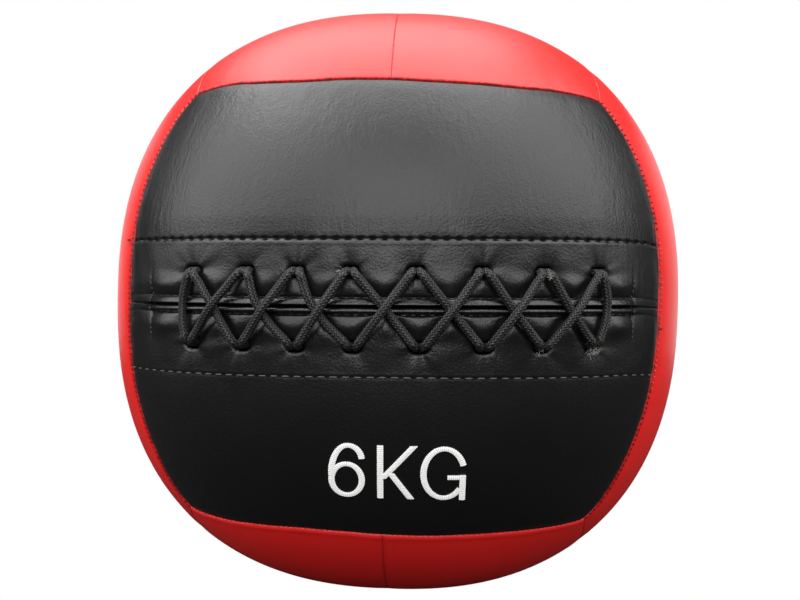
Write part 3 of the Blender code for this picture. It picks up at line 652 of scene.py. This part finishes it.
def plainWeave(name, colour, shade, threadMm):  # matt nylon or cotton: fine square weave, no gloss
    material, tree, shader, coords = newMaterial(name, colour, 0.85, Sheen_Weight=0.2)
    threads = {"Vector": coords, "Scale": bandsPerMm(threadMm), "Distortion": 0.4}
    warp, weft = (addNode(tree, "TexWave", threads, bands_direction=way).outputs["Fac"] for way in "XZ")
    cross = addNode(tree, "Math", {0: warp, 1: weft}, operation="MULTIPLY")
    applyPattern(tree, shader, cross, shade, colour, 0.4, threadMm / 4000)
    return material


webbing = {"depth": 0.0016, "step": 0.0016, "thickness": 0.001}
blackWebbing = plainWeave("black nylon webbing", "17171A", "0C0C0D", 1.0)

for name, side in grooveSides.items():
    strip, x, height = makeFrontSheet(name + "_eyelet_webbing", side, webbing["step"], webbing["depth"], stripOnly=True)
    openEyelets(strip, side, x, height, webbing["thickness"])
    dress(strip, blackWebbing, "black_webbing", name + "_eyelet_facing")
print("eyelet webbing made")


# Lace: one braided polyester cord in the route of the solid lace

def eyeletFrames(side):
    frames = []
    for x, height in eyeletPlaces(side):
        outward, nearby = frontAt(np.array([x, x + 0.001]), height)
        across = surfaceAt(nearby) - surfaceAt(outward)
        across = unit(across - outward * across.dot(outward))
        middle = centre + outward * (reachOf(outward) - lacing["middleDepth"])
        frames.append((middle, outward, across, np.cross(outward, across)))
    return frames


def passage(frame, side):
    return frame[0] + frame[2] * (side * spread)


def quarterTurn(frame, side, way, depth):  # outside where no depth is given
    start, outward = passage(frame, side), frame[1]
    flat = unit(way - outward * way.dot(outward))
    bend = lacing["bend"]
    straight = 0 if depth is None else depth - lacing["middleDepth"] - bend
    lean = outward if depth is None else -outward
    points = [start + lean * straight] if straight > lacing["diameter"] / 2 else []
    for angle in np.radians((22.5, 45, 67.5, 90)):
        points.append(start + flat * bend * (1 - math.cos(angle)) + lean * (straight + bend * math.sin(angle)))
    return points


def chartPlace(point):
    x, _, z = surfaceAt(unit(point - centre))
    return x, z - grooveHeight(x)


def surfaceRun(start, end, shares, heights):
    (ax, ah), (bx, bh) = chartPlace(start), chartPlace(end)
    return [pointsAt(frontAt(np.array(ax + (bx - ax) * share), ah + (bh - ah) * share), -rise)
            for share, rise in zip(shares, heights)]


def strand(first, firstSide, second, secondSide, depth=None, over=False, bow=0):
    ends = [passage(first, firstSide), passage(second, secondSide)]
    begin = quarterTurn(first, firstSide, ends[1] - ends[0], depth)
    finish = quarterTurn(second, secondSide, ends[0] - ends[1], depth)
    if depth is None:
        shares = np.linspace(0.08, 0.92, 13)
        fromMiddle = (shares - 0.5) * np.linalg.norm(ends[1] - ends[0])
        rise, width = (lacing["overRise"], lacing["overWidth"]) if over else (-lacing["underDip"], lacing["underWidth"])
        middle = surfaceRun(begin[-1], finish[-1], shares, lacing["underHeight"] + rise * bell(fromMiddle, width))
        middle = [point + first[2] * bow * math.sin(math.pi * share) for point, share in zip(middle, shares)]
    else:
        middle = surfaceRun(begin[-1], finish[-1], (0.5,), (-depth,))
    return [*begin, *middle, *finish[::-1], ends[1]]


def laceRoute():
    upper, lower = eyeletFrames(1), eyeletFrames(-1)
    inside, deep = lacing["insideDepth"], lacing["deepDepth"]
    tail = quarterTurn(lower[7], 1, -lower[7][3], inside)
    points = [*tail[::-1], passage(lower[7], 1)]
    points += strand(lower[7], 1, upper[7], 1, bow=lacing["endBows"][1])
    for k in range(7, 0, -1):
        points += strand(upper[k], 1, lower[k], -1, inside)
        points += strand(lower[k], -1, upper[k - 1], 1, bow=lacing["slack"][k - 1])
    points += strand(upper[0], 1, lower[0], -1, inside)
    points += strand(lower[0], -1, upper[0], -1, bow=lacing["endBows"][0])
    for k in range(7):
        points += strand(upper[k], -1, lower[k], 1, deep)
        points += strand(lower[k], 1, upper[k + 1], -1, over=True)
    return np.array(points + quarterTurn(upper[7], -1, upper[7][3], inside))


def evenly(points, step):  # softens the route's corners and spaces its points evenly
    for _ in range(2):
        cut = [points[0]]
        for a, b in zip(points[:-1], points[1:]):
            cut += [0.75 * a + 0.25 * b, 0.25 * a + 0.75 * b]
        points = np.array(cut + [points[-1]])
    length = distancesAlong(points)[-1]
    places = np.linspace(0, length, round(length / step))
    return pointsAlong(points, places), places


def makeTube(name, path, places, radius, sides, relief=None):
    forward = unit(np.gradient(path, axis=0))
    normal = np.cross(forward[0], (0, 0, 1))
    normals = []
    for way in forward:  # carried along without twist
        normal = unit(normal - way * normal.dot(way))
        normals.append(normal)
    normals = np.array(normals)
    binormals = np.cross(forward, normals)
    turns = np.arange(sides) * 2 * math.pi / sides
    outs = normals[:, None] * np.cos(turns)[:, None] + binormals[:, None] * np.sin(turns)[:, None]
    bumps = 0 if relief is None else relief(places[:, None], turns)[..., None]
    rings = (path[:, None] + (radius + bumps) * outs).reshape(-1, 3)
    ring, turn = np.divmod(np.arange(len(rings) - sides), sides)
    here, beside = ring * sides + turn, ring * sides + (turn + 1) % sides
    faces = np.stack([here, beside, beside + sides, here + sides], axis=1).tolist()
    faces += [list(range(sides))[::-1], list(range(len(rings) - sides, len(rings)))]
    near, far, low, high = places[ring], places[ring + 1], turn / sides, (turn + 1) / sides
    spots = np.stack([near, low, near, high, far, high, far, low], axis=1)
    tube = newPiece(name, rings, faces)
    tube.data.uv_layers.new(name="along").data.foreach_set("uv", np.append(spots, np.zeros(4 * sides)))
    tube.data.update()
    return tube


braid = {"cell": 0.0017, "around": 7, "relief": 0.0002}


def braidRelief(along, turn):  # threads cross over and under in small diamonds
    along, around = along / braid["cell"], turn / (2 * math.pi) * braid["around"]
    p, q = along + around, along - around
    odd = (np.floor(p) + np.floor(q)) % 2
    height = np.where(odd > 0.5, np.abs(np.sin(math.pi * p)), np.abs(np.sin(math.pi * q)))
    return braid["relief"] * (height - 0.6)


def braidedCord():
    # polyester braid: matt threads cross in small diamonds, and the hollows between them get a near-black painted shade
    material, tree, shader, _ = newMaterial("black braided polyester cord", "2C2C2B", 0.5, Specular_IOR_Level=0.4)
    split = addNode(tree, "SeparateXYZ", {0: addNode(tree, "UVMap", uv_map="along")})
    along = addNode(tree, "Math", {0: split, 1: braid["cell"]}, operation="DIVIDE")
    around = addNode(tree, "Math", {0: split.outputs[1], 1: braid["around"]}, operation="MULTIPLY")
    floors, rounds = [], []
    for operation in ("ADD", "SUBTRACT"):
        run = addNode(tree, "Math", {0: along, 1: around}, operation=operation)
        half = addNode(tree, "Math", {0: run, 1: math.pi}, operation="MULTIPLY")
        wave = addNode(tree, "Math", {0: half}, operation="SINE")
        rounds.append(addNode(tree, "Math", {0: wave}, operation="ABSOLUTE"))
        floors.append(addNode(tree, "Math", {0: run}, operation="FLOOR"))
    total = addNode(tree, "Math", dict(enumerate(floors)), operation="ADD")
    odd = addNode(tree, "Math", {0: total, 1: 2.0}, operation="FLOORED_MODULO")
    height = addNode(tree, "Mix", {0: odd, 2: rounds[1], 3: rounds[0]})
    # the low places of the braid are painted near black, a painted shade
    applyPattern(tree, shader, height.outputs[0], "020202", "2C2C2B", 1.0, 0.0004)
    return material


blackCord = braidedCord()
route, places = evenly(laceRoute(), lacing["step"])
lace = makeTube("braided_lace", route, places, lacing["diameter"] / 2, lacing["sides"], braidRelief)
smoothShade(lace)
dress(lace, blackCord, "black_cord", "lace")


# Frayed ends: single filaments of the cord's pale core that stand out where it has rubbed; the glint is such pale
# filaments put where a highlight shows, a painted highlight

# x, height from the groove, rise, filament count, reach, and the fan of their directions in degrees
frays = {
    "tuft": (0.0942, -0.0188, 0.0012, 34, 0.0028, (180, 360)),
    "upper_fray": (0.0702, 0.0140, 0.0034, 12, 0.0024, (-80, 100)),
    "lower_fray": (0.0681, -0.0186, 0.0012, 7, 0.0018, (180, 330)),
    # the glint: pale filaments standing in for a highlight, a painted highlight
    "glint": (-0.0175, 0.0150, 0.0034, 8, 0.0018, (120, 260)),
}
filamentRadius = 0.00007

# bright polyester filament, thin, with pale and greyed stretches
filament = grainy("frayed polyester filament and painted glint", "B4B0A8", "4E4B47", 0.4, 1.5, 2, Sheen_Weight=0.3)
random = np.random.default_rng(7)
for name, (x, height, rise, count, reach, fan) in frays.items():
    hairs, steps = [], np.linspace(0, 1, 7)[:, None]
    for _ in range(count):
        turn = math.radians(random.uniform(*fan))
        root = frontAt(np.array(x + random.normal() * 0.0009), height + random.normal() * 0.0007)
        length = reach * random.uniform(0.5, 1)
        way = np.array((math.cos(turn), -0.25 - 0.5 * random.random(), math.sin(turn)))
        curl = np.array([random.normal() for _ in range(3)]) * 0.35
        path = pointsAt(root, -rise) + length * (way * steps + curl * steps ** 2)
        hairs.append(makeTube(name, path, np.linspace(0, reach, len(path)), filamentRadius, 5))
    dress(joinPieces(hairs), filament, "white_fibre")
print("lace made,", round(float(places[-1]), 3), "m")


# Stitches: one short twisted thread, copied along every seam, hem and bar tack

def sewingThread(name, colour, shade, specular=0.3):  # bonded nylon: round, slightly glossy, twisted plies
    return grainy(name, colour, shade, 0.6, 0.6, 1, 0.4, 0.0001, Specular_IOR_Level=specular)


threads = {
    "red": sewingThread("dark red nylon thread", "A81418", "6E080A", 0.05),
    # pink: the red thread painted pale where it catches the light, a painted highlight
    "pink": sewingThread("red nylon thread painted pale as a highlight", "FF8A84", "E8504C", 0.1),
    "black": sewingThread("black nylon thread", "1C1C1C", "0C0C0C"),
    # grey: the black thread painted lighter where it catches the light, a painted highlight
    "grey": sewingThread("black nylon thread painted lighter as lit", "5C5C58", "3C3C3A"),
    "worn": sewingThread("worn black nylon thread", "4A4A48", "141414"),
}


def stitchTemplate():
    deselect()
    bpy.ops.mesh.primitive_uv_sphere_add(segments=6, ring_count=5, radius=0.5)
    template = bpy.context.object
    points = np.array([vert.co for vert in template.data.vertices])[:, [2, 0, 1]]  # its poles lie along x
    faces = [face.vertices[:] for face in template.data.polygons]
    bpy.data.objects.remove(template)
    return points, faces


stitchPoints, stitchFaces = stitchTemplate()


def makeStitches(name, line, size, thread):  # the line: each stitch's middle, way and outward direction
    (middles, ways, outs), (length, width) = line, size
    alongs = unit(ways)
    sides = unit(np.cross(outs, alongs))
    turned = stitchPoints * (length, width, width) @ np.stack([alongs, sides, np.cross(alongs, sides)], axis=1)
    starts = np.arange(len(middles)) * len(stitchPoints)
    faces = [[index + start for index in face] for start in starts.tolist() for face in stitchFaces]
    stitches = newPiece(name, (middles[:, None] + turned).reshape(-1, 3), faces)
    smoothShade(stitches)
    dress(stitches, threads[thread], ("red" if thread in ("red", "pink") else "black") + "_leatherette")


seamStitch = {"pitch": 0.0028, "uneven": 0.12, "length": 0.0015, "width": 0.0006, "depth": 0.00055, "sideDepth": 0.0002,
              "lean": 0.35, "towardsRed": 0.0006}


def seamCurve(face, shortShare, start=-1, end=1, depth=None):
    if depth is None:
        depth = seamStitch["sideDepth" if face in ("left", "right") and shortShare == -1 else "depth"]
    shares = np.linspace(start, end, 400)
    points = pointsAt(faceDirections(face, shares, np.full(400, float(shortShare))), depth)
    length, pitch = distancesAlong(points)[-1], seamStitch["pitch"]
    spots = np.arange(pitch / 2, length, pitch)
    spots = spots + seamStitch["uneven"] * pitch * np.sin(spots * 1900)
    spots = spots[spots < length - 0.0002]  # no stitch past the seam's end
    middles = pointsAlong(points, spots)
    ways = unit(pointsAlong(points, spots + 1e-4) - middles)
    outs = unit(middles - centre)
    across = np.cross(outs, ways)
    if face in ("front", "left", "right") and shortShare:
        middles = middles + across * (np.sign(across[:, 1:2]) * np.sign(-middles[:, 1:2]) * seamStitch["towardsRed"])
    return middles, across + ways * seamStitch["lean"], outs


def seamStitches(name, seams, thread, size=1):
    line = [np.concatenate(parts) for parts in zip(*(seamCurve(*seam) for seam in seams))]
    makeStitches(name, line, (seamStitch["length"] * size, seamStitch["width"] * size), thread)


edgeSeams = [(face, side) for face in ("front", "back", "top", "bottom") for side in (-1, 1)]
middleSeams = [(face, 0) for face in ("top", "bottom", "left", "right")]
seamStitches("seam_stitches", [*edgeSeams, ("left", 1), ("right", 1), *middleSeams], "red")
seamStitches("side_seam_stitches", [("left", -1), ("right", -1, -1, -0.35), ("right", -1, 0.35, 1)], "red", 1.35)
# these pink stitches are the right seam's painted highlight
seamStitches("right_seam_stitches", [("right", -1, -0.35, 0.35, -0.0003)], "pink", 1.15)
seamStitches("back_seam_stitches", [("back", 0)], "black")


def frontLine(xs, heights, depth):
    directions = frontAt(xs, heights)
    middles = pointsAt(directions, depth)
    return middles, np.gradient(middles, axis=0), directions


# side, height over the hem, size and thread
# the lower hem's grey thread is the black thread with a painted highlight
hemStitches = {"upper": (1, 0.0004, (0.0019, 0.0006), "black"), "lower": (-1, 0, (0.0036, 0.0008), "grey")}
hemProud = 0.0001
lipStitch = {"pitch": 0.0042, "size": (0.0026, 0.0006), "reach": 0.136}
threadEnds = {"left": (-0.1345, 0.0308, 0.0070), "right": (0.1345, -0.0090, 0.0050)}  # x, z and length, on the red
threadEndWidth = 0.0009
barTack = {"pitch": 0.0024, "size": (0.0017, 0.001), "top": 0.0140, "bottom": -0.0145, "proud": 0.0002}

hemPlaces = np.arange(-24, 25) * closure["hemPitch"]
for name, (side, above, size, thread) in hemStitches.items():
    heights = side * hemHeight(side, hemPlaces) + above
    line = frontLine(hemPlaces, heights, closureDepth(side, hemPlaces, heights) - hemProud)
    makeStitches(name + "_hem_stitches", line, size, thread)

lipPlaces = np.arange(-lipStitch["reach"], lipStitch["reach"], lipStitch["pitch"])
for name, side in grooveSides.items():
    heights = np.full(len(lipPlaces), side * closure["foot"][side])
    line = frontLine(lipPlaces, heights, closureDepth(side, lipPlaces, heights))
    makeStitches(name + "_lip_stitches", line, lipStitch["size"], "black")

for name, (x, z, length) in threadEnds.items():
    directions = frontDirections(x + np.array([-0.0005, 0, 0.0005]), np.full(3, z))
    points = pointsAt(directions, -0.0008)
    line = points[1:2], points[2:] - points[:1], directions[1:2]
    makeStitches(name + "_thread_end", line, (length, threadEndWidth), "black")

for name, place in zip(("left", "right"), closure["tackPlaces"]):
    heights = np.arange(barTack["bottom"], barTack["top"], barTack["pitch"])
    xs = np.full(len(heights), place)
    depths = np.where(heights > 0, closureDepth(1, xs, heights), closureDepth(-1, xs, heights)) - barTack["proud"]
    makeStitches(name + "_bar_tack", frontLine(xs, heights, depths), barTack["size"], "worn")
print("stitches made")


# Weight mark: satin-stitched strokes of white thread

mark = {
    "uprightWidth": 0.0028, "levelWidth": 0.0021, "rise": 0.0003, "crown": 0.0002, "thickness": 0.0005,
    "overlap": 0.00006,  # each further stroke lies this much higher
    # paintedGlow: the white thread's emission, painted light
    "step": 0.0006, "threadMm": 0.9, "paintedGlow": 0.3,
}


def arc(cx, cz, rx, rz, start, end, count=40):
    turns = np.radians(np.linspace(start, end, count))
    return [(cx + rx * math.cos(t), cz + rz * math.sin(t)) for t in turns]


# Each stroke: its middle line in millimetres, x across the front and z up, and whether its ends are cut level
markStrokes = {
    "six": [(arc(-15.9, -77.7, 6.9, 7.75, 90, 450, 60), False),
            (arc(-15.2, -74.8, 7.6, 13.8, 184, 90) + arc(-15.2, -67.9, 6.3, 6.9, 88, 6, 24), False)],
    "kay": [([(-0.7, -60.7), (-0.7, -86.5)], True),
            ([(14.3, -60.7), (0.3, -76.5)], True),
            ([(4.0, -73.9), (13.1, -86.5)], True)],
    "gee": [(arc(27.9, -73.8, 9.2, 12.1, 20, 322, 60), False),
            ([(29.5, -75.6), (37.8, -75.6)], False),
            ([(36.4, -74.4), (36.4, -86.8)], True)],
}


def makeStroke(name, line, levelCut, rise):
    line = np.array(line) / 1000
    length = distancesAlong(line)[-1]
    count = max(3, round(length / mark["step"]))
    places = np.linspace(0, length, count)
    middle = pointsAlong(line, places)
    ways = unit(np.gradient(middle, axis=0))
    normals = np.stack([-ways[:, 1], ways[:, 0]], axis=1)
    widths = np.hypot(normals[:, 0] * mark["uprightWidth"], normals[:, 1] * mark["levelWidth"])
    if levelCut:
        widths = widths / np.abs(ways[:, 1])
        normals = np.stack([-np.sign(ways[:, 1]), np.zeros(count)], axis=1)
    sheet, columns, rows = addSheet(name, count, 7)
    across = rows / 3 - 1
    flat = middle[columns] + normals[columns] * (across * widths[columns] / 2)[:, None]
    crown = mark["rise"] + rise + mark["crown"] * (1 - across ** 2)
    writePoints(sheet, pointsAt(frontDirections(flat[:, 0], flat[:, 1]), -crown))
    layer = sheet.data.uv_layers.active
    layer.name = "along"
    corners = np.empty(len(sheet.data.loops), int)
    sheet.data.loops.foreach_get("vertex_index", corners)
    layer.data.foreach_set("uv", np.stack([places[columns[corners]], across[corners] * 0.0015], axis=1).ravel())
    thicken(sheet, mark["thickness"])
    return sheet


def satinStitch():
    # rayon embroidery thread, laid side by side across each stroke: bright, with fine ridges whose grooves get a
    # painted grey shade, and it glows a little though it is no lamp, a painted light
    material, tree, shader, _ = newMaterial("white rayon satin stitch", "F4F4F2", 0.45, Sheen_Weight=0.2,
                                            Emission_Color=(1, 1, 1, 1), Emission_Strength=mark["paintedGlow"])
    places = {"Vector": addNode(tree, "UVMap", uv_map="along"), "Scale": bandsPerMm(mark["threadMm"])}
    ridges = addNode(tree, "TexWave", {**places, "Distortion": 1.5, "Detail": 1, "Detail Scale": 2})
    # the grooves between the ridges are painted grey, a painted shade
    applyPattern(tree, shader, ridges.outputs["Fac"], "B4B4B2", "FCFCFA", 0.6, 0.00012)
    return material


whiteThread = satinStitch()
for letter, strokes in markStrokes.items():
    pieces = [makeStroke("mark_" + letter, *stroke, mark["overlap"] * k) for k, stroke in enumerate(strokes)]
    dress(joinPieces(pieces), whiteThread, "white_fibre")
print("weight mark made")


# What stays from the solids: pieces inside, seen only through the eyelets or not at all

def closedFoam():  # matt grey, with small closed cells
    material, tree, shader, coords = newMaterial("grey polyethylene foam", "8A8C8E", 0.9)
    cells = addNode(tree, "TexVoronoi", {"Vector": coords, "Scale": perMm(0.8)})
    applyPattern(tree, shader, cells, "8A8C8E", "8A8C8E", 0.5, 0.0002)
    return material


insideMaterials = {
    "foam": closedFoam(),
    "tongue": blackWebbing,
    "knot": blackCord,
    # matt pale scraps in loose lumps
    "filling": grainy("packed textile fibre", "DAD6CE", "B9B4AA", 0.95, 3, 4, 0.7, 0.0015),
    "tie": plainWeave("cotton tape", "B8AA8A", "8F8265", 0.8),
    "bag": plainWeave("cotton canvas", "B0A284", "857A60", 0.8),
    # dull dark grains, a little glossier than the cloth
    "sand": grainy("dull iron sand", "5A5754", "2E2C2A", 0.6, 0.6, 4, 0.7, 0.0003),
}
for nodeName, node in frame["nodes"].items():
    for word, material in insideMaterials.items():
        if word in nodeName:
            setMaterial(node, material)
            break
print("inside pieces given their materials")


# Floor, light and camera

studio = {
    "floorTone": "3C3C3C", "floorShine": "0E0E0E", "floorLevel": -0.0003, "world": 0.032, "aim": (0, 0, 0.17),
    "softboxes": {  # place, size and power
        "left key": ((-0.92, -0.58, 1.02), 1.4, 19.5),
        "right key": ((0.86, -0.52, 1.12), 1.4, 19.5),
        "top softbox": ((-0.16, 0.0, 1.4), 1.35, 22),
        "fill softbox": ((0.0, -1.65, 0.88), 1.1, 15),
        "left card": ((-1.2, -0.36, 0.42), 0.7, 1.4),
        "right card": ((1.2, -0.36, 0.42), 0.7, 1.4),
        "left softbox": ((-0.78, 1.08, 0.35), 0.75, 2.9),
        "right softbox": ((0.78, 1.08, 0.35), 0.75, 2.9),
    },
}


def makeFloor():
    deselect()
    bpy.ops.mesh.primitive_plane_add(size=40, location=(0, 0, studio["floorLevel"]))
    floor = bpy.context.object
    floor.name = "floor"
    material, tree, shader, _ = newMaterial("pale studio floor", studio["floorTone"], 0.9)
    path = addNode(tree, "LightPath")
    tones = {6: fromHex(studio["floorTone"]), 7: fromHex(studio["floorShine"])}
    tone = addNode(tree, "Mix", {0: path.outputs["Is Glossy Ray"], **tones}, data_type="RGBA")
    tree.links.new(tone.outputs[2], shader.inputs["Base Color"])
    seen = addNode(tree, "Emission")  # plain white
    mixed = addNode(tree, "MixShader", {0: path.outputs["Is Camera Ray"], 1: shader, 2: seen})
    tree.links.new(mixed.outputs[0], tree.nodes["Material Output"].inputs["Surface"])
    setMaterial(floor, material)


def makeWorld():
    world = bpy.data.worlds.new("studio")
    world.use_nodes = True
    tree = world.node_tree
    background = tree.nodes["Background"]
    background.inputs["Color"].default_value = (1, 1, 1, 1)
    seen = addNode(tree, "LightPath").outputs["Is Camera Ray"]
    strength = addNode(tree, "MapRange", {"Value": seen, "To Min": studio["world"], "To Max": 1.0})
    tree.links.new(strength.outputs["Result"], background.inputs["Strength"])
    bpy.context.scene.world = world


def addSoftbox(name, place, size, power):
    bpy.ops.object.light_add(type="AREA", location=place)
    light = bpy.context.object
    light.name = name
    light.data.shape = "SQUARE"
    light.data.size = size
    light.data.energy = power
    light.rotation_mode = "QUATERNION"
    light.rotation_quaternion = (Vector(studio["aim"]) - Vector(place)).to_track_quat("-Z", "Y")


makeFloor()
makeWorld()
for name, settings in studio["softboxes"].items():
    addSoftbox(name, *settings)

shot = {"distance": 0.49702, "focalPixels": 758.564, "middlePixels": (399.14, 300.44), "imagePixels": (800, 600),
        "turns": (0.01911, 0.02318, -0.04013), "sensor": 36}  # roll, pitch and yaw in radians


def makeCamera():
    bpy.ops.object.camera_add()
    camera = bpy.context.object
    roll, pitch, yaw = (Matrix.Rotation(turn, 3, axis) for turn, axis in zip(shot["turns"], "YXZ"))
    right, forward, up = (roll @ pitch @ yaw).transposed().col
    frameMatrix = Matrix((right, up, -forward)).transposed().to_4x4()
    frameMatrix.translation = Vector(ball["centre"]) - forward * shot["distance"]
    camera.matrix_world = frameMatrix
    (width, height), (middleX, middleY) = shot["imagePixels"], shot["middlePixels"]
    camera.data.sensor_width = shot["sensor"]
    camera.data.lens = shot["focalPixels"] * shot["sensor"] / width
    camera.data.shift_x = (width / 2 - middleX) / width
    camera.data.shift_y = (middleY - height / 2) / width
    camera.data.clip_start = 0.01
    bpy.context.scene.camera = camera


makeCamera()
bpy.context.scene.view_settings.view_transform = "Standard"
print("studio made")
